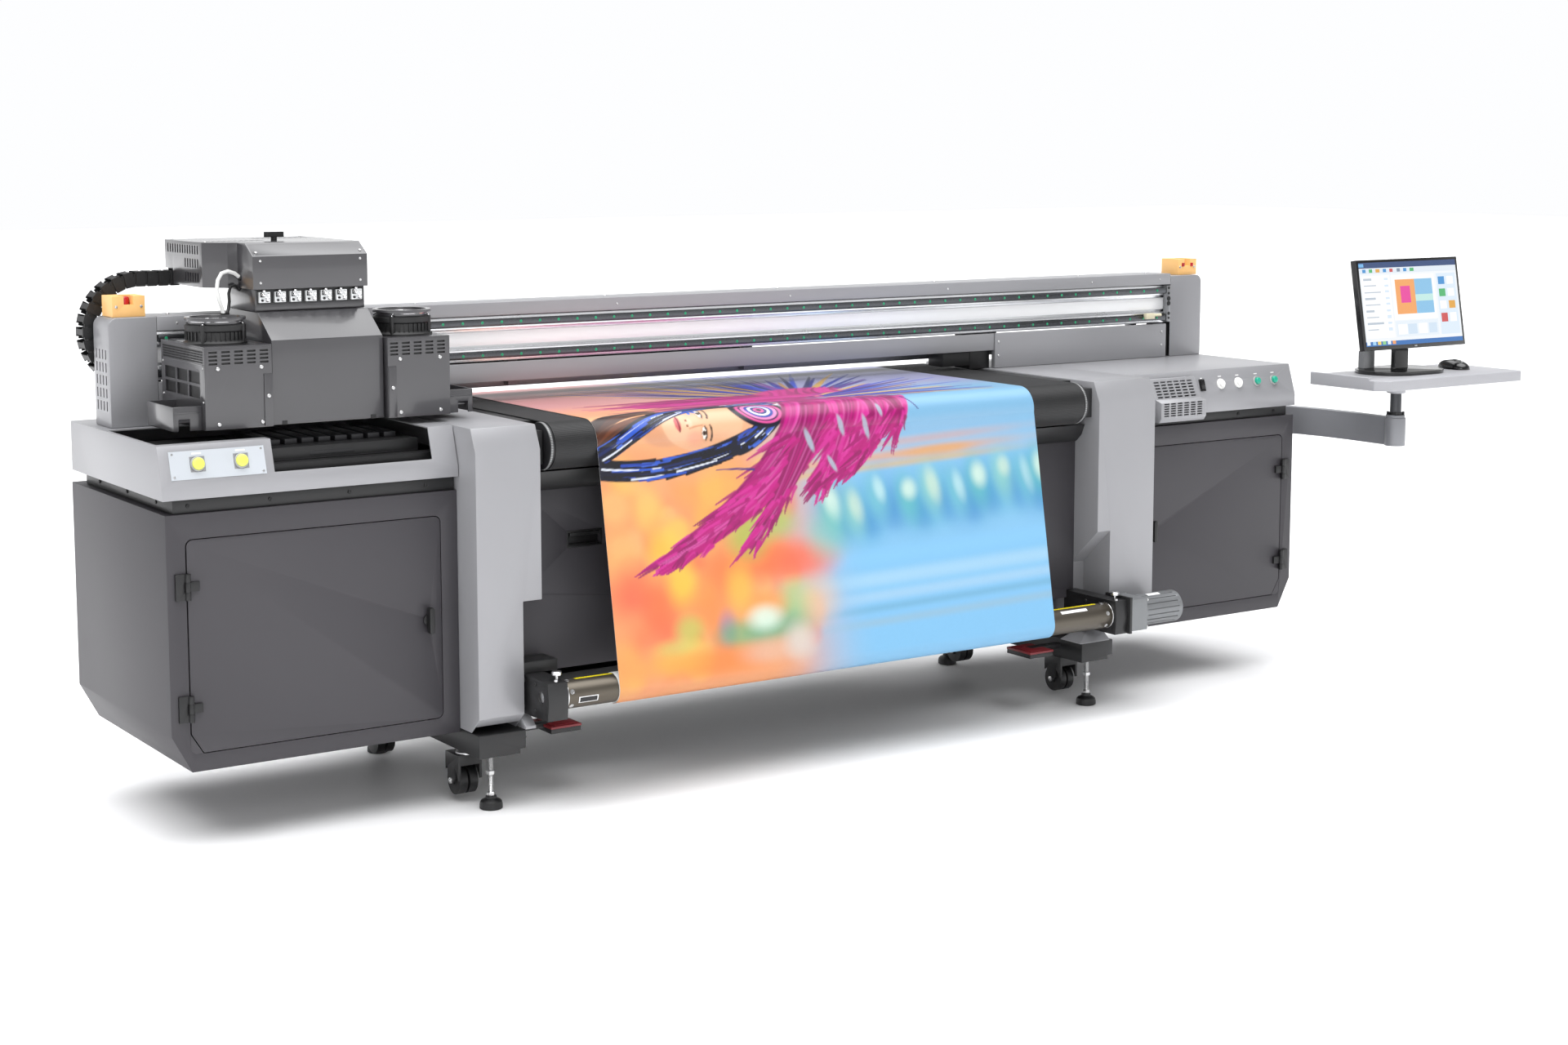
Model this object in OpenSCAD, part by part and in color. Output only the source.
// Hybrid belt-fed flatbed printer: side cabinets, conveyor table, gantry with
// print carriage, film take-up and unwind shafts, and a swing-out operator desk.
// Millimetres, +Z up, +X to the right seen from the front, -Y towards the operator.
// Lengths are laid out from the left cabinet's outer face (X), the cabinets'
// front plane (Y) and the floor (Z), then moved so that the whole object's
// footprint centre on the floor is the origin.

/* [Cabinets] */
// Width of the left cabinet
cab_w = 772; // [740:1:772]
// Depth of both cabinets
cab_d = 702; // [660:1:702]
// Height of the cabinets' underside
cab_z0 = 198; // [190:1:210]
// Height of the cabinets' top plate
cab_z1 = 834; // [826:1:838]
// Thickness of the cabinet walls
cab_t = 5; // [3:0.5:8]
// Width of a door
door_w = 672; // [640:1:674]
// Height of a door
door_h = 526; // [480:1:530]
// Thickness of a door
door_t = 14; // [10:1:20]
// Corner radius of a door
door_r = 16; // [8:1:24]

/* [Top covers] */
// Height of the covers' flat top
top_z = 1000; // [998:1:1000]
// Sheet thickness of the covers
cover_t = 4; // [3:0.5:6]
// Depth of the covers
cover_d = 665; // [640:1:680]

/* [Columns] */
// Front face of the columns, ahead of the cabinets' front plane
col_front = 107; // [100:1:112]
// Back face of the columns
col_back = 752; // [740:1:760]
// Height where the columns step in below the conveyor
col_step = 545; // [500:1:580]

/* [Conveyor] */
// Width of the conveyor belt
belt_w = 1800; // [1700:10:1800]
// Thickness of the conveyor belt
belt_t = 3; // [2:0.5:4]
// Outer radius of the belt where it goes round a roller
belt_r = 63; // [58:0.5:63]
// Distance between the two roller axes
roller_pitch = 740; // [700:5:740]
// Radius of the roller journals
journal_r = 15; // [10:0.5:18]

/* [Film] */
// Width of the film
film_w = 1478; // [1200:1:1500]
// Thickness of the film as drawn
film_t = 1; // [0.6:0.1:1.5]
// Radius of the take-up and unwind tubes
tube_r = 38; // [34:0.5:38]
// Radius of the film roll on the unwind tube
roll_r = 62; // [50:1:66]

/* [Gantry] */
// Underside of the beam
beam_z0 = 1115; // [1114:1:1116]
// Top of the beam
beam_z1 = 1240; // [1238:1:1240]
// Height of the lower rail's axis
rail_lo_z = 1133; // [1132:1:1134]
// Height of the upper rail's axis
rail_hi_z = 1224; // [1222:1:1224]
// Rail width
rail_w = 18; // [16:1:20]

/* [Carriage] */
// Underside of the print carriage
car_z = 1020; // [1018:1:1024]
// Width of the carriage housing
car_w = 300; // [290:1:300]
// Outer radius of a lamp fan
fan_r = 75; // [65:1:76]
// Number of ink valves on the rack
valve_n = 7; // [4:1:7]
// Cable chain link height
chain_h = 43; // [38:1:43]
// Outer radius of the cable chain's bend
chain_r = 155; // [150:1:155]

/* [Desk] */
// Width of the desk tray
tray_w = 663; // [500:1:663]
// Depth of the desk tray
tray_d = 310; // [280:1:312]
// Thickness of the desk tray
tray_t = 33; // [25:1:34]
// Width of the monitor
mon_w = 478; // [400:1:480]
// Height of the monitor
mon_h = 290; // [250:1:292]

/* [Hidden] */
mid_x = 2205;
mid_y = 224;
// width of the right door, whose left edge clears the column
door_wr = 646;
right_x0 = 3092;
right_x1 = 3800;
belt_x0 = 1000;
roll_x0 = 960;
roll_x1 = 2861;
roller_y = -50;
roller_z = 937;
rear_y = roller_y + roller_pitch;
film_x0 = 1122;
take_y = -180;
take_z = 305;
unw_y = 806;
unw_z = 305;
feet = [[826, -60], [2874, -53], [826, 640], [2874, 640]];
casters = [[800, 30, 0], [2880, 60, 0], [800, 540, 0], [2880, 560, 0]];
lift_lamp = [144, 630];
fans = [[216, 205], [722, 205]];
desk_px = 3826;
desk_py = 228;
post_x = 3950;
post_y = -300;
tray_x0 = 3757;
tray_y0 = -420;
mon_x = 4060;
mon_y = -215;
light_grey = [0.66, 0.66, 0.67];
dark_grey = [0.31, 0.30, 0.31];
black = [0.08, 0.08, 0.085];

module place() translate([-mid_x, -mid_y, 0]) children();
module bx(x0, x1, y0, y1, z0, z1) translate([x0, y0, z0]) cube([x1 - x0, y1 - y0, z1 - z0]);
module xcyl(x0, x1, y, z, r, n = 48) translate([x0, y, z]) rotate([0, 90, 0]) cylinder(h = x1 - x0, r = r, $fn = n);
module ycyl(y0, y1, x, z, r, n = 48) translate([x, y0, z]) rotate([-90, 0, 0]) cylinder(h = y1 - y0, r = r, $fn = n);
module zcyl(x, y, z0, z1, r, n = 48) translate([x, y, z0]) cylinder(h = z1 - z0, r = r, $fn = n);
// a profile in Y and Z, drawn along X
module xprism(x0, x1, pts) translate([x0, 0, 0]) rotate([90, 0, 90]) linear_extrude(height = x1 - x0) polygon(pts);
// a profile in X and Z, drawn along Y
module yprism(y0, y1, pts) translate([0, y1, 0]) rotate([90, 0, 0]) linear_extrude(height = y1 - y0) polygon(pts);
// a profile in X and Y, drawn along Z
module zprism(z0, z1, pts) translate([0, 0, z0]) linear_extrude(height = z1 - z0) polygon(pts);
// rounded rectangle in X and Z, drawn along Y
module ypad(x0, x1, z0, z1, y0, y1, r)
  translate([0, y1, 0]) rotate([90, 0, 0]) linear_extrude(height = y1 - y0) {
    translate([x0 + r, z0]) square([x1 - x0 - 2 * r, z1 - z0]);
    translate([x0, z0 + r]) square([x1 - x0, z1 - z0 - 2 * r]);
    for (x = [x0 + r, x1 - r]) for (z = [z0 + r, z1 - r]) translate([x, z]) circle(r = r, $fn = 32);
  }
// rounded rectangle in X and Y, drawn along Z
module zpad(x0, x1, y0, y1, z0, z1, r)
  translate([0, 0, z0]) linear_extrude(height = z1 - z0) {
    translate([x0 + r, y0]) square([x1 - x0 - 2 * r, y1 - y0]);
    translate([x0, y0 + r]) square([x1 - x0, y1 - y0 - 2 * r]);
    for (x = [x0 + r, x1 - r]) for (y = [y0 + r, y1 - r]) translate([x, y]) circle(r = r, $fn = 32);
  }

// ---------------------------------------------------------------- structure
module base_frame() color(black) place() {
  // side members under the columns, bored for the feet and the casters' stems
  for (s = [0, 1]) difference() {
    union() {
      bx(s ? 2809 : 772, s ? 2932 : 907, -col_front + 2, 700, 158, 206);
      bx(s ? 2809 : 772, s ? 2914 : 890, -col_front + 2, 700, 146, 158);
    }
    for (f = feet) zcyl(f[0], f[1], 140, 190, 7.06);
    for (c = casters) zcyl(c[0], c[1], 140, 178, 8.05);
  }
  // cross members between the sides
  bx(920.2, 2808.8, 60, 140, 215, 300);
  bx(920.2, 2808.8, 520, 600, 215, 300);
  bx(903.5, 920, 60, 600, 206.2, 300);
  bx(2809, 2836, 60, 600, 206.2, 300);
  // uprights inside the columns
  for (x = [800, 2871]) for (y = [40, 560]) bx(x, x + 60, y, y + 90, 206.2, 985);
  // recessed bands between the cabinets and their top covers
  difference() { bx(22, 768, 10, 650, 834.5, 871); bx(40, 750, 30, 630, 830, 880); }
  difference() { bx(3094, 3776, 10, 650, 834.5, 867); bx(3112, 3756, 30, 630, 830, 880); }
  // foot-switch plates on short arms, inboard of each side member
  bx(907.2, 1040, -10, 20, 176, 190);
  bx(1010, 1100, -52, 58, 168, 181);
  bx(2690, 2808.8, -10, 20, 176, 190);
  bx(2650, 2740, -52, 58, 168, 181);
}

module cabinet_shell(x0, x1, side) {
  a = side == 0 ? x0 : x1;
  d = side == 0 ? 1 : -1;
  difference() {
    yprism(0, cab_d, side == 0
      ? [[x0, 292], [x0 + 50, cab_z0], [x1, cab_z0], [x1, cab_z1], [x0, cab_z1]]
      : [[x0, cab_z0], [x1 - 50, cab_z0], [x1, 292], [x1, cab_z1], [x0, cab_z1]]);
    yprism(cab_t, cab_d - cab_t, side == 0
      ? [[x0 + cab_t, 296], [x0 + 53, cab_z0 + cab_t], [x1 - cab_t, cab_z0 + cab_t], [x1 - cab_t, cab_z1 - cab_t], [x0 + cab_t, cab_z1 - cab_t]]
      : [[x0 + cab_t, cab_z0 + cab_t], [x1 - 53, cab_z0 + cab_t], [x1 - cab_t, 296], [x1 - cab_t, cab_z1 - cab_t], [x0 + cab_t, cab_z1 - cab_t]]);
    ypad(side == 0 ? 48 : right_x1 - 48 - door_wr - 4, side == 0 ? 52 + door_w : right_x1 - 48, 242, 246 + door_h, -1, cab_t + 1, door_r + 2);
  }
}
module cabinet_left() color(dark_grey) place() cabinet_shell(0, cab_w - 1, 0);
module cabinet_right() color(dark_grey) place() cabinet_shell(right_x0, right_x1, 1);

function cover_side(z0, zl) = [[-15, z0], [-15, zl], [16, top_z], [cover_d, top_z], [cover_d, z0]];
module top_cover_left() color(light_grey) place() difference() {
  xprism(-10, 769, cover_side(871, 899));
  xprism(-10 + cover_t, 769 - cover_t, [[-11, 870], [-11, 899], [19, top_z - cover_t], [cover_d - cover_t, top_z - cover_t], [cover_d - cover_t, 870]]);
  // opening over the capping station
  bx(2, 700, 52, 402, 990, 1002);
  // notch in the front slope
  bx(277, 700, -16, 60, 920, 1002);
  for (x = [85, 195]) on_slope(x) ycyl(-14, 14, 0, 0, 15.3);
}
module top_cover_right() color(light_grey) place() {
  difference() {
    xprism(right_x0 - 1, 3790, cover_side(867, 902));
    xprism(right_x0 - 1 + cover_t, 3790 - cover_t, [[-11, 866], [-11, 902], [19, top_z - cover_t], [cover_d - cover_t, top_z - cover_t], [cover_d - cover_t, 866]]);
    on_slope(3390) ypad(-9, 9, -16, 16, -14, 14, 1.5);
    for (x = [3471, 3548, 3630, 3706]) on_slope(x) ycyl(-14, 14, 0, 0, 11.5);
  }
  // ventilation hump
  difference() {
    xprism(3160, 3350, [[-15.5, 852], [-50, 852], [-60, 866], [-60, 914], [-34, 922], [-4, 984], [8, 984], [8, 978], [-15.5, 903]]);
    xprism(3164, 3346, [[-16, 857], [-48, 857], [-56, 868], [-56, 912], [-33, 918], [-8, 970], [-16, 905]]);
  }
}

function col_side(z0, y0) = [[-col_front, 250], [-col_front, 938], [-80, top_z], [col_back, top_z], [col_back, z0], [y0, z0]];
module column_left() color(light_grey) place() {
  difference() {
    union() {
      xprism(772, 903, col_side(207, -60));
      xprism(903, 958, [[-col_front, col_step], [-col_front, 938], [-80, top_z], [col_back, top_z], [col_back, col_step]]);
    }
    xprism(776, 899, [[-col_front + 4, 252], [-col_front + 4, 936], [-77, 996], [col_back - 4, 996], [col_back - 4, 200], [-58, 200]]);
    xprism(898, 954, [[-col_front + 4, col_step + 4], [-col_front + 4, 936], [-77, 996], [col_back - 4, 996], [col_back - 4, col_step + 4]]);
  }
  // ear of the foot skirt
  xprism(903.2, 934, [[-col_front - 4, 208], [-col_front - 4, 216], [-70, 246], [-40, 246], [-40, 208]]);
}
module column_right() color(light_grey) place() {
  difference() {
    union() {
      xprism(2914, 3090, col_side(207, -60));
      xprism(2863, 2914, [[-col_front, col_step], [-col_front, 938], [-80, top_z], [col_back, top_z], [col_back, 207], [13, 207], [13, 435]]);
    }
    xprism(2918, 3086, [[-col_front + 4, 252], [-col_front + 4, 936], [-77, 996], [col_back - 4, 996], [col_back - 4, 200], [-58, 200]]);
    xprism(2867, 2919, [[-col_front + 4, col_step - 1], [-col_front + 4, 936], [-77, 996], [col_back - 4, 996], [col_back - 4, 200], [17, 200], [17, 438]]);
  }
  // hipped skirt over the side member's end
  hull() {
    bx(2796, 2913.5, -col_front - 6, -20, 207, 209);
    bx(2860, 2913.5, -70, -40, 240, 241);
  }
}

module body_panels() color(dark_grey) place() {
  difference() {
    union() {
      bx(904, 2862, 0, 22, 330, col_step - 1);
      bx(959, 2862, 0, 22, col_step - 1.2, 813);
    }
    bx(1095, 1194, -1, 16, 655, 693);
    bx(2835.5, 2863, -1, 12.5, 329, 353);
  }
  union() {
    bx(904, 2862, 672, 692, 330, col_step - 1);
    bx(959, 2862, 672, 692, col_step - 1.2, 813);
  }
}

module belt_table() color(black) place() {
  // vacuum bed inside the belt loop, carried by its two ends
  difference() {
    bx(960, 2861, 26, 614, 886, top_z - belt_t - 0.6);
    bx(968, 2853, 34, 606, 880, top_z - belt_t - 12);
  }
  // aprons under the two rollers
  xprism(960, 2861, [[-44, 868], [22, 868], [22, 813.5], [-6, 813.5], [-30, 836]]);
  bx(960, 2861, 668, 700, 813.5, 868);
}

module belt_loop(r, w) {
  translate([roller_y, roller_z - r]) square([roller_pitch, 2 * r]);
  translate([roller_y, roller_z]) circle(r = r, $fn = 96);
  translate([rear_y, roller_z]) circle(r = r, $fn = 96);
}
module conveyor_belt() color([0.11, 0.11, 0.115]) place()
  translate([belt_x0, 0, 0]) rotate([90, 0, 90]) linear_extrude(height = belt_w) difference() {
    belt_loop(belt_r);
    belt_loop(belt_r - belt_t);
  }

// film path: up from the unwind roll, over the belt, round the front roller and down
ff = belt_r + 0.4;
function arc(cx, cz, r, a0, a1, n) = [for (i = [0:n]) [cx + r * cos(a0 + (a1 - a0) * i / n), cz + r * sin(a0 + (a1 - a0) * i / n)]];
tk_r = tube_r + 3;
function front_run(o) = concat(
  arc(take_y, take_z, tk_r + o, 270, 170.4, 12),
  arc(roller_y, roller_z, ff + o, 186, 90, 16));
function rear_run(o) = concat(
  arc(rear_y, roller_z, ff + o, 90, -6, 16),
  arc(unw_y, unw_z, roll_r + 0.6 + o, 174, 184, 2));
module media_web() color([0.9, 0.6, 0.4]) place()
  xprism(film_x0, film_x0 + film_w, concat(
    front_run(0), [[rear_y, roller_z + ff]], rear_run_in(),
    rear_out_rev(), [[rear_y, roller_z + ff + film_t]], rev(front_run(film_t))));
function rev(v) = [for (i = [len(v) - 1:-1:0]) v[i]];
rear_in = concat(arc(rear_y, roller_z, ff, 84, -4, 14), [[unw_y - roll_r - 0.6 - film_t - 0.2 + film_t, unw_z + 8]]);
rear_out = concat(arc(rear_y, roller_z, ff + film_t, 84, -4, 14), [[unw_y - roll_r - 0.6 - film_t - 0.2 + 2 * film_t, unw_z + 8]]);
function rear_run_in() = rear_in;
function rear_out_rev() = rev(rear_out);

module shaft_brackets() color(black) place() {
  // take-up supports on the front of the columns, unwind supports at the back
  difference() {
    union() {
      xprism(912, 970, [[-1, 250], [-1, 350], [-120, 350], [-216, 346], [-222, 300], [-216, 248], [-120, 246]]);
      bx(912, 1010, -90, -12, 350.5, 380);
    }
    xcyl(905, 975, take_y, take_z, journal_r + 0.05);
  }
  difference() {
    xprism(2836, 2883, [[12, 250], [12, 352], [-120, 352], [-222, 352], [-228, 300], [-222, 250], [-120, 250]]);
    xcyl(2830, 2890, take_y, take_z, journal_r + 0.05);
  }
  for (x = [920, 2830]) difference() {
    bx(x, x + 30, 693, 848, 250, 352);
    xcyl(x - 5, x + 35, unw_y, unw_z, journal_r + 0.05);
  }
  // bearing blocks of the belt rollers
  for (x = [960, 2821]) for (y = [roller_y, rear_y]) difference() {
    bx(x, x + 22 + (x > 2000 ? 18 : 0), y - 24, y + 24, roller_z - 44, roller_z + 44);
    xcyl(x - 5, x + 50, y, roller_z, journal_r + 0.05);
  }
}

module takeup_motor() color([0.5, 0.51, 0.52]) place() {
  // flange, gearbox and finned motor
  bx(2883.2, 2892, -236, -124, 250, 360);
  bx(2892, 2956, -232, -128, 256, 352);
  difference() {
    xcyl(2956, 3107, take_y, take_z, 48, 64);
    for (a = [0:20:340]) translate([2966, take_y, take_z]) rotate([a, 0, 0]) translate([0, -1.5, 44.5]) cube([126, 3, 8]);
  }
}

// ---------------------------------------------------------------- gantry
module gantry_beam() color([0.75, 0.76, 0.77]) place() difference() {
  bx(60, 3740, 446, 530, beam_z0, beam_z1);
  bx(55, 3745, 445, 452, 1152, 1206);
  bx(55, 3745, 456, 520, 1125, 1147);
  bx(55, 3745, 462, 520, 1157, 1230);
}
module linear_rails() color([0.2, 0.2, 0.21]) place()
  for (z = [rail_lo_z, rail_hi_z]) difference() {
    bx(150, 3645, 430, 446, z - rail_w / 2, z + rail_w / 2);
    for (s = [-1, 1]) bx(149, 3646, 436, 441, z + s * rail_w / 2 - 2, z + s * rail_w / 2 + 2);
  }
module gantry_supports() color([0.1, 0.1, 0.1]) place() {
  bx(860, 950, 450, 528, 1000.2, 1114.8);
  bx(2806, 2886, 450, 528, 1000.2, 1114.8);
  bx(2700, 2806, 452, 528, 1012, 1056);
  for (x = [66, 3660]) bx(x, x + 74, 452, 528, 1000.2, 1114.8);
  // tray that carries the cable chain behind the beam
  difference() { bx(150, 3700, 556, 642, 1030, 1072); bx(149, 3701, 559, 639, 1033, 1080); }
  for (x = [400, 1200, 2000, 2950, 3560]) {
    bx(x, x + 30, 530.2, 555.8, 1034, 1200);
  }
}
module end_cover(x0, x1, zt, side) {
  r = 24;
  difference() {
    yprism(430, 548, side == 0
      ? concat([[x0, 1000.5], [x1, 1000.5], [x1, zt]], [for (a = [90:15:180]) [x0 + r + r * cos(a), zt - r + r * sin(a)]])
      : concat([[x0, 1000.5], [x1, 1000.5]], [for (a = [0:15:90]) [x1 - r + r * cos(a), zt - r + r * sin(a)]], [[x0, zt]]));
    yprism(434, 544, side == 0
      ? [[x0 + 4, 999], [x1 + 1, 999], [x1 + 1, zt - 4], [x0 + 26, zt - 4], [x0 + 4, zt - 26]]
      : [[x0 - 1, 999], [x1 - 4, 999], [x1 - 4, zt - 26], [x1 - 26, zt - 4], [x0 - 1, zt - 4]]);
  }
}
module gantry_covers() color(light_grey) place() {
  // top strip with its front lip, lower strip, right lower panel, end covers
  xprism(147, 3649, [[430, 1243], [430, 1280], [546, 1280], [546, 1262], [542, 1262], [542, 1276], [445, 1276], [445, 1243]]);
  bx(147, 2890, 431, 445.8, 1058, 1112);
  bx(2891, 3630, 427, 445.8, 1001, 1112);
  end_cover(20, 146, 1280, 0);
  end_cover(3650, 3790, 1272, 1);
}
estop = [[39, 1280.5], [3700, 1272.5]];
module estop_boxes() color([0.96, 0.72, 0.4]) place() for (e = estop) difference() {
  bx(e[0], e[0] + 85, 450, 530, e[1], e[1] + 53);
  zcyl(e[0] + 42.5, 488, e[1] + 22, e[1] + 60, 17);
  zcyl(e[0] + 42.5, 488, e[1] + 10, e[1] + 30, 8.05);
  bx(e[0] + 30, e[0] + 55, 440, 488, e[1] + 30, e[1] + 60);
}
module estop_button(e) color([0.75, 0.05, 0.1]) place() {
  zcyl(e[0] + 42.5, 488, e[1] + 30, e[1] + 50, 14);
  zcyl(e[0] + 42.5, 488, e[1] + 18, e[1] + 30.5, 8);
}
module estop_button_left() estop_button(estop[0]);
module estop_button_right() estop_button(estop[1]);

// ---------------------------------------------------------------- left station
module capping_station() color(black) place() {
  difference() { bx(4, 764, 24, 655, 905, 935); bx(12, 756, 70, 647, 912, 940); }
  bx(290, 696, 66, 392, 935.2, 968);
  for (i = [0:7]) bx(312 + i * 45, 344 + i * 45, 120, 340, 968.2, 982);
  bx(12, 285, 70, 395, 960, 966);
  for (x = [20, 265]) for (y = [80, 375]) bx(x, x + 12, y, y + 12, 912, 960.2);
}

hinge_z = [[325, 390], [625, 690]];
module hinge_set(x, d, parts) for (h = hinge_z) {
  if (parts == 0) {
    // fixed leaf, its two knuckles and the pin
    bx(min(x - d * 30, x - d * 8), max(x - d * 30, x - d * 8), -7, -0.2, h[0], h[1]);
    for (s = [0, 1]) bx(min(x - d * 9, x - d * 5.5), max(x - d * 9, x - d * 5.5), -7, -0.2, s ? h[1] - 20 : h[0], s ? h[1] : h[0] + 20);
    for (s = [0, 1]) difference() {
      zcyl(x, -9, s ? h[1] - 20 : h[0], s ? h[1] : h[0] + 20, 7);
    }
  } else {
    difference() {
      union() {
        bx(min(x + d * 30, x + d * 6), max(x + d * 30, x + d * 6), -7, -0.3, h[0] + 21, h[1] - 21);
        zcyl(x, -9, h[0] + 20.5, h[1] - 20.5, 6.8);
      }
      zcyl(x, -9, h[0], h[1], 3.05);
    }
  }
}
module hinge_brackets() color(black) place() {
  for (q = [[49, 1], [right_x1 - 49, -1]]) {
    hinge_set(q[0], q[1], 0);
    for (h = hinge_z) zcyl(q[0], -9, h[0] + 10, h[1] - 10, 3);
  }
  // desk arm bracket on the right cabinet's side
  bx(right_x1 + 0.2, right_x1 + 3, 150, 306, 740, 856);
  bx(right_x1 + 2.9, right_x1 + 7.6, 196, 260, 750, 846);
  for (z = [[750, 764], [832, 846]]) bx(right_x1 + 7, desk_px + 20, 208, 248, z[0], z[1]);
  zcyl(desk_px, desk_py, 755, 841, 8);
}
module door_panel(x0, x1, hx, d, zt) {
  difference() {
    ypad(x0, x1, 244, 244 + door_h, 0, door_t, door_r);
    // chamfered lower hinge corner
    translate([hx, -1, 0]) rotate([-90, 0, 0]) linear_extrude(height = door_t + 2) polygon([[-d * 2, -243], [-d * 2, -296], [d * 30, -243]]);
    // hollow back of the folded sheet
    bx(x0 + 24, x1 - 24, 3, door_t + 1, 300, 224 + door_h);
    ycyl(-1, 10, d > 0 ? x1 - 37 : x0 + 76, 505, 6.05);
  }
}
module door_left() color(dark_grey) place() { door_panel(51, 50 + door_w, 51, 1); hinge_set(49, 1, 1); }
module door_right() color(dark_grey) place() { door_panel(right_x1 - 50 - door_wr, right_x1 - 51, right_x1 - 51, -1); hinge_set(right_x1 - 49, -1, 1); }
module wing_handle(x) color(black) place() {
  ycyl(-6, -0.4, x, 505, 15);
  ycyl(-1, 12, x, 505, 6);
  translate([0, 0, 0]) ypad(x - 7, x + 7, 471, 539, -26, -6.2, 6);
}
module door_handle_left() wing_handle(50 + door_w - 37);
module door_handle_right() wing_handle(right_x1 - 50 - door_wr + 76);

module cabinet_equipment() color([0.7, 0.7, 0.69]) place() {
  // ink tanks on their shelf in the left cabinet
  bx(58, 740, 120, 560, cab_z0 + 6, cab_z0 + 12);
  for (i = [0:6]) {
    bx(78 + i * 92, 150 + i * 92, 150, 420, cab_z0 + 12.2, 400);
    zcyl(114 + i * 92, 200, 400, 420, 20);
  }
  // control cabinet and power supply in the right cabinet
  bx(3130, 3700, 420, 690, cab_z0 + 8, 700);
  bx(3150, 3400, 120, 360, cab_z0 + 8, 360);
}

// ---------------------------------------------------------------- rollers and shafts
module roller(y) {
  xcyl(belt_x0, belt_x0 + belt_w, y, roller_z, belt_r - belt_t - 0.4, 96);
  for (x = [belt_x0 - 15, belt_x0 + belt_w + 1.5]) xcyl(x, x + 13.5, y, roller_z, belt_r - 0.5, 96);
  xcyl(belt_x0 - 38, belt_x0 + 1, y, roller_z, journal_r);
  xcyl(belt_x0 + belt_w - 1, belt_x0 + belt_w + 58, y, roller_z, journal_r);
}
module front_roller() color([0.12, 0.12, 0.12]) place() roller(roller_y);
module rear_roller() color([0.12, 0.12, 0.12]) place() roller(rear_y);
module takeup_shaft() color([0.36, 0.33, 0.3]) place() {
  xcyl(972, 2834, take_y, take_z, tube_r, 64);
  xcyl(916, 973, take_y, take_z, journal_r);
  xcyl(2833, 2881, take_y, take_z, journal_r);
}
module unwind_roll() color([0.8, 0.8, 0.8]) place() {
  xcyl(954, 2826, unw_y, unw_z, tube_r, 64);
  xcyl(922, 955, unw_y, unw_z, journal_r);
  xcyl(2825, 2858, unw_y, unw_z, journal_r);
  difference() {
    xcyl(film_x0, film_x0 + film_w, unw_y, unw_z, roll_r, 96);
    xcyl(film_x0 - 1, film_x0 + film_w + 1, unw_y, unw_z, tube_r + 0.02, 64);
  }
}

// ---------------------------------------------------------------- feet and casters
module levelling_feet() color([0.5, 0.5, 0.5]) place() for (f = feet) {
  zcyl(f[0], f[1], 0, 12, 30);
  translate([f[0], f[1], 0]) rotate_extrude($fn = 48) polygon([[0, 11.9], [30, 11.9], [27, 24], [14, 34], [0, 34]]);
  zcyl(f[0], f[1], 33.9, 186, 7);
  zcyl(f[0], f[1], 92, 101, 12.5, 6);
}
module caster_fork(c) color(black) place() translate([c[0], c[1], 0]) {
  zcyl(0, 0, 132, 145.5, 24);
  zcyl(0, 0, 145, 175, 8);
  difference() {
    bx(-34, 34, -24, 52, 66, 132.2);
    bx(-27, 27, -30, 60, 60, 104);
    xcyl(-40, 40, 20, 58, 41);
  }
  for (s = [-1, 1]) difference() {
    hull() { bx(s > 0 ? 27.2 : -34, s > 0 ? 34 : -27.2, 0, 40, 68, 104); xcyl(s > 0 ? 27.2 : -34, s > 0 ? 34 : -27.2, 20, 58, 12, 32); }
  }
  xcyl(-34, 34, 20, 58, 5, 32);
}
module caster_wheel(c) color([0.07, 0.07, 0.07]) place() translate([c[0], c[1], 0]) difference() {
  union() {
    for (s = [[-26, -3], [3, 26]]) xcyl(s[0], s[1], 20, 58, 38, 64);
    xcyl(-26.5, 26.5, 20, 58, 14, 32);
  }
  xcyl(-30, 30, 20, 58, 5.06, 32);
}
module caster_fork_fl() caster_fork(casters[0]);
module caster_fork_fr() caster_fork(casters[1]);
module caster_fork_rl() caster_fork(casters[2]);
module caster_fork_rr() caster_fork(casters[3]);
module caster_wheel_fl() caster_wheel(casters[0]);
module caster_wheel_fr() caster_wheel(casters[1]);
module caster_wheel_rl() caster_wheel(casters[2]);
module caster_wheel_rr() caster_wheel(casters[3]);

// ---------------------------------------------------------------- buttons
// square to the covers' front slope, at the buttons' height
module on_slope(x) translate([x, 1.5, 953]) rotate([-17.06, 0, 0]) children();
// a button whose cap stands on the covers' front slope
module slope_button(x, r, c) color(c) place() on_slope(x) ycyl(-14, 8, 0, 0, r);
module ink_button_1() slope_button(85, 15, [0.9, 0.93, 0.35]);
module ink_button_2() slope_button(195, 15, [0.9, 0.93, 0.35]);
module start_button() slope_button(3471, 11.2, "white");
module stop_button() slope_button(3548, 11.2, "white");
module vacuum_button() slope_button(3630, 11.2, [0.12, 0.62, 0.5]);
module lamp_button() slope_button(3706, 11.2, [0.12, 0.62, 0.5]);
module power_rocker() color(black) place() on_slope(3390) {
  ypad(-8, 8, -14.5, 14.5, -6, 6, 1);
  xcyl(-8.8, 8.8, 0, 0, 2.5, 32);
}

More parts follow.
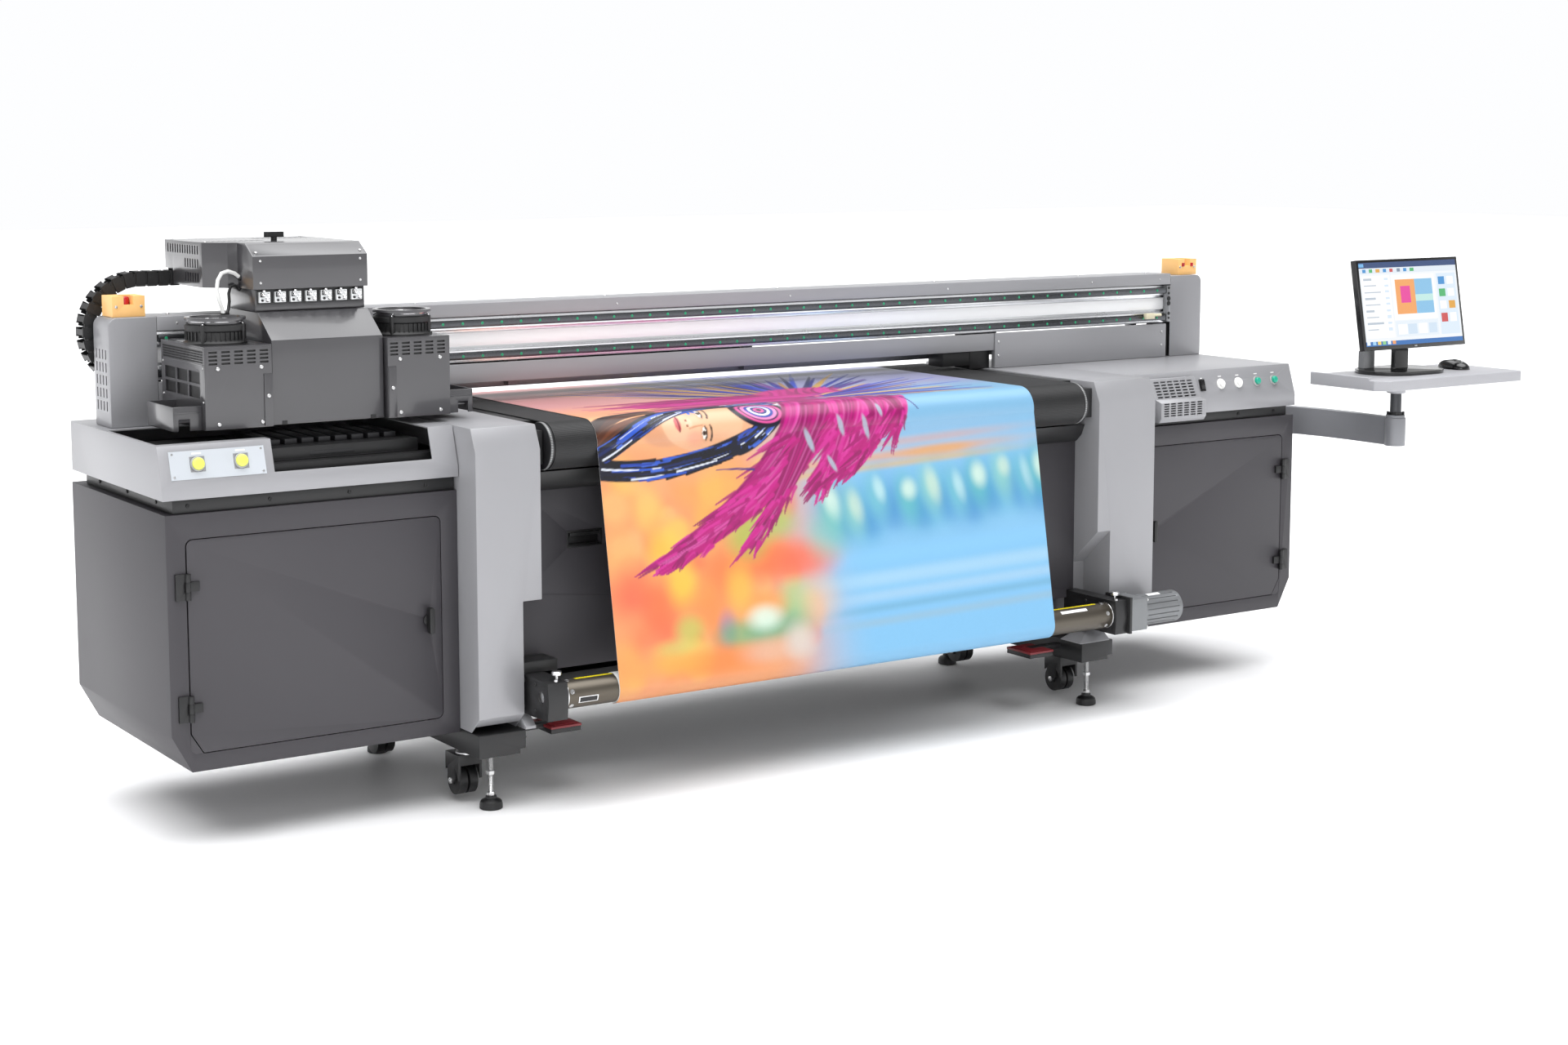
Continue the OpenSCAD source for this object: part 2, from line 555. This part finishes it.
// ---------------------------------------------------------------- carriage
module carriage_plate() color([0.3, 0.3, 0.31]) place() {
  bx(332, 618, 404, 422, 1062, 1292);
  for (x = [372, 560]) bx(x, x + 18, 400, 404.1, 1072, 1284);
  for (z = [rail_lo_z, rail_hi_z]) for (x = [340, 560]) difference() {
    bx(x, x + 50, 421.9, 441, z - 17, z + 17);
    bx(x - 1, x + 51, 429.2, 442, z - 9.6, z + 9.6);
  }
}
module shell_box(x0, x1, y0, y1, z0, z1, t) difference() {
  bx(x0, x1, y0, y1, z0, z1);
  bx(x0 + t, x1 - t, y0 + t, y1 - t, z0 - 1, z1 - t);
}
module carriage_housing() color(dark_grey) place() {
  difference() {
    xprism(325, 325 + car_w, [[112, car_z], [112, 1232], [200, 1297], [396, 1297], [396, car_z]]);
    xprism(329, 321 + car_w, [[116, car_z - 1], [116, 1230], [202, 1293], [392, 1293], [392, car_z - 1]]);
  }
  // guards at the two outer ends
  for (s = [0, 1]) {
    a = s ? 805.5 : 70;
    b = s ? 880 : 143.5;
    o = s ? 877 : 70;
    difference() { bx(a, b, 118, 121, 1019, 1080); bx(s ? 838 : 84, s ? 866 : 112, 117, 122, 1018, 1048); }
    bx(o, o + 3, 121, 300, 1019, 1080);
    bx(a, b, 297, 300, 1019, 1080);
    bx(a, b, 160, 297, 1034, 1037);
  }
}
module lamp_housings() color(dark_grey) place() {
  for (x = lift_lamp) difference() {
    shell_box(x, x + 174, 95, 398, car_z, 1225, 4);
    zcyl(x + 72 + (x > 500 ? 20 : 0), 205, 1215, 1230, 62);
  }
  // emitters under the housings
  for (x = lift_lamp) bx(x + 20, x + 154, 130, 370, car_z + 2, 1100);
  for (x = lift_lamp) bx(x + 60, x + 110, 369, 394.5, 1050, 1090);
  // fans
  for (f = fans) {
    difference() {
      union() {
        zcyl(f[0], f[1], 1225.2, 1232, fan_r);
        zcyl(f[0], f[1], 1231.9, 1284, fan_r - 8);
        zcyl(f[0], f[1], 1283.9, 1291, fan_r);
      }
      zcyl(f[0], f[1], 1220, 1300, fan_r - 12);
    }
    zcyl(f[0], f[1], 1232, 1284, 30);
    for (a = [0:120:240]) translate([f[0], f[1], 0]) rotate([0, 0, a]) bx(28, fan_r - 10, -4, 4, 1233, 1240);
  }
}
module printheads() color([0.55, 0.56, 0.58]) place() {
  bx(332, 618, 130, 385, 1032, 1038);
  for (i = [0:3]) for (j = [0:1]) bx(346 + i * 68, 392 + i * 68, 142 + j * 122, 252 + j * 122, 1016, 1110);
}
module valve_rack() color(dark_grey) place() {
  bx(325, 622, 214, 390, 1297.5, 1353);
  for (i = [0:valve_n - 1]) {
    bx(333 + i * 41.5, 362 + i * 41.5, 200, 213.8, 1312, 1346);
    ycyl(190, 200.1, 347 + i * 41.5, 1322, 7, 24);
    ycyl(190, 200.1, 341 + i * 41.5, 1338, 4, 24);
  }
}
hood_xy = [[316, 200], [626, 200], [626, 620], [241, 620], [241, 352], [290, 302], [316, 302]];
hood_in = [[320, 204], [622, 204], [622, 616], [245, 616], [245, 354], [292, 306], [320, 306]];
module carriage_hood() color(dark_grey) place() {
  difference() {
    zprism(1354, 1468, hood_xy);
    zprism(1353, 1464, hood_in);
    xprism(230, 640, [[199, 1436], [250, 1468.1], [250, 1480], [190, 1480], [190, 1436]]);
    // chain entry
    bx(238, 248, 563, 627, 1353, 1394);
  }
  xprism(320, 622, [[200, 1432], [250, 1463.5], [250, 1468], [200, 1436.4]]);
  zcyl(455, 400, 1468.2, 1476, 8);
  zpad(428, 482, 391, 409, 1476.2, 1490, 8.5);
}
chain_cx = 152;
chain_cz = 1235;
module cable_chain() color([0.06, 0.06, 0.06]) place() {
  difference() {
    ycyl(566, 624, chain_cx, chain_cz, chain_r, 96);
    ycyl(560, 630, chain_cx, chain_cz, chain_r - chain_h, 96);
    bx(chain_cx, 330, 560, 630, 1050, 1420);
  }
  bx(chain_cx - 0.1, 239, 566, 624, chain_cz + chain_r - chain_h, chain_cz + chain_r);
  bx(chain_cx - 0.1, 200, 566, 624, chain_cz - chain_r, chain_cz - chain_r + chain_h);
}

// hose and lead from the hood down to the left fan, as swept tubes
hose_pts = [[312.4, 284, 1382.4], [300, 283, 1392], [282, 281, 1398], [264, 279, 1393], [253, 276, 1376], [248, 272, 1352], [251, 267, 1328], [256, 262, 1308], [258, 258, 1293]];
lead_pts = [[313.2, 293, 1353.8], [303, 292, 1361], [291, 290, 1358], [284, 285, 1342], [282, 277, 1322], [276, 269, 1304], [270, 262, 1293.6]];
function sub3(a, b) = [a[0] - b[0], a[1] - b[1], a[2] - b[2]];
function unit3(v) = v / norm(v);
function tang(p, i) = unit3(sub3(p[min(i + 1, len(p) - 1)], p[max(i - 1, 0)]));
module tube(p, r) {
  n = 8;
  k = len(p);
  rings = [for (i = [0:k - 1]) let (t = tang(p, i), u = unit3(cross(t, [0.3, 1, 0.1])), v = cross(t, u)) [for (j = [0:n - 1]) p[i] + r * (cos(j * 45) * u + sin(j * 45) * v)]];
  pts = [for (a = rings) for (b = a) b];
  polyhedron(points = pts, faces = concat(
    [[for (j = [0:n - 1]) j]],
    [for (i = [0:k - 2]) for (j = [0:n - 1]) let (m = (j + 1) % n) each [[i * n + j, (i + 1) * n + j, (i + 1) * n + m], [i * n + j, (i + 1) * n + m, i * n + m]]],
    [[for (j = [n - 1:-1:0]) (k - 1) * n + j]]));
}
module carriage_hoses() color("white") place() { tube(hose_pts, 5); tube(lead_pts, 4); }

// ---------------------------------------------------------------- desk
module desk_arm() color(light_grey) place() {
  difference() {
    union() {
      zprism(764.5, 831.5, [[desk_px, 212], [3862, 206], [3862, 250], [desk_px, 246]]);
      zcyl(desk_px, desk_py, 764.5, 831.5, 18);
      zprism(753, 843, [[3862, 206], [3884, 160], [3912, 70], [3928, -20], [3934, -120], [3934, -300], [3966, -300], [3968, -120], [3962, -12], [3944, 82], [3914, 178], [3888, 232], [3862, 250]]);
      zcyl(post_x, post_y, 753, 843, 33);
      zcyl(post_x, post_y, 842.9, 852, 30);
    }
    zcyl(desk_px, desk_py, 760, 840, 8.06);
  }
  zcyl(post_x, post_y, 851.9, 930, 18);
}
module desk_tray() color([0.72, 0.73, 0.74]) place() {
  difference() {
    union() {
      zprism(945, 945 + tray_t, [[tray_x0, tray_y0 + 40], [tray_x0 + 40, tray_y0], [tray_x0 + tray_w - 12, tray_y0], [tray_x0 + tray_w, tray_y0 + 12], [tray_x0 + tray_w, tray_y0 + tray_d - 12], [tray_x0 + tray_w - 12, tray_y0 + tray_d], [tray_x0, tray_y0 + tray_d]]);
      zcyl(post_x, post_y, 922, 945.1, 30);
    }
    zcyl(post_x, post_y, 920, 931, 18.06);
  }
  bx(tray_x0, tray_x0 + 10, tray_y0 + 60, tray_y0 + tray_d, 977.5, 986);
}
module monitor_stand() color(black) place() {
  zpad(mon_x - 175, mon_x + 135, mon_y - 122, mon_y + 92, 978.3, 990, 104);
  bx(mon_x - 30, mon_x + 30, mon_y - 8, mon_y + 12, 989, 1150);
  xcyl(mon_x - 28, mon_x + 28, mon_y + 2, 1160, 12);
  bx(mon_x - 114, mon_x - 64, mon_y + 50, mon_y + 75, 978.4, 1045);
}
module monitor() color(black) place()
  translate([mon_x, mon_y - 32, 1202]) rotate([-10, 0, 0]) {
    bx(-mon_w / 2, mon_w / 2, -8, 14, -mon_h / 2, mon_h / 2);
    bx(-mon_w / 2 + 90, mon_w / 2 - 90, 14, 28, -mon_h / 2 + 50, mon_h / 2 - 50);
  }
module computer_mouse() color(black) place() translate([4280, -250, 978.4]) {
  zpad(-33, 33, -58, 58, 0, 17, 28);
  zpad(-28, 28, -50, 46, 16.9, 32, 24);
}

base_frame();
cabinet_left();
cabinet_right();
top_cover_left();
top_cover_right();
column_left();
column_right();
body_panels();
belt_table();
conveyor_belt();
media_web();
shaft_brackets();
takeup_motor();
gantry_beam();
linear_rails();
gantry_supports();
gantry_covers();
estop_boxes();
capping_station();
hinge_brackets();
cabinet_equipment();
front_roller();
rear_roller();
takeup_shaft();
unwind_roll();
door_left();
door_right();
door_handle_left();
door_handle_right();
levelling_feet();
caster_fork_fl();
caster_fork_fr();
caster_fork_rl();
caster_fork_rr();
caster_wheel_fl();
caster_wheel_fr();
caster_wheel_rl();
caster_wheel_rr();
ink_button_1();
ink_button_2();
power_rocker();
start_button();
stop_button();
vacuum_button();
lamp_button();
estop_button_left();
estop_button_right();
carriage_plate();
carriage_housing();
valve_rack();
carriage_hood();
lamp_housings();
printheads();
cable_chain();
carriage_hoses();
desk_arm();
desk_tray();
monitor_stand();
monitor();
computer_mouse();
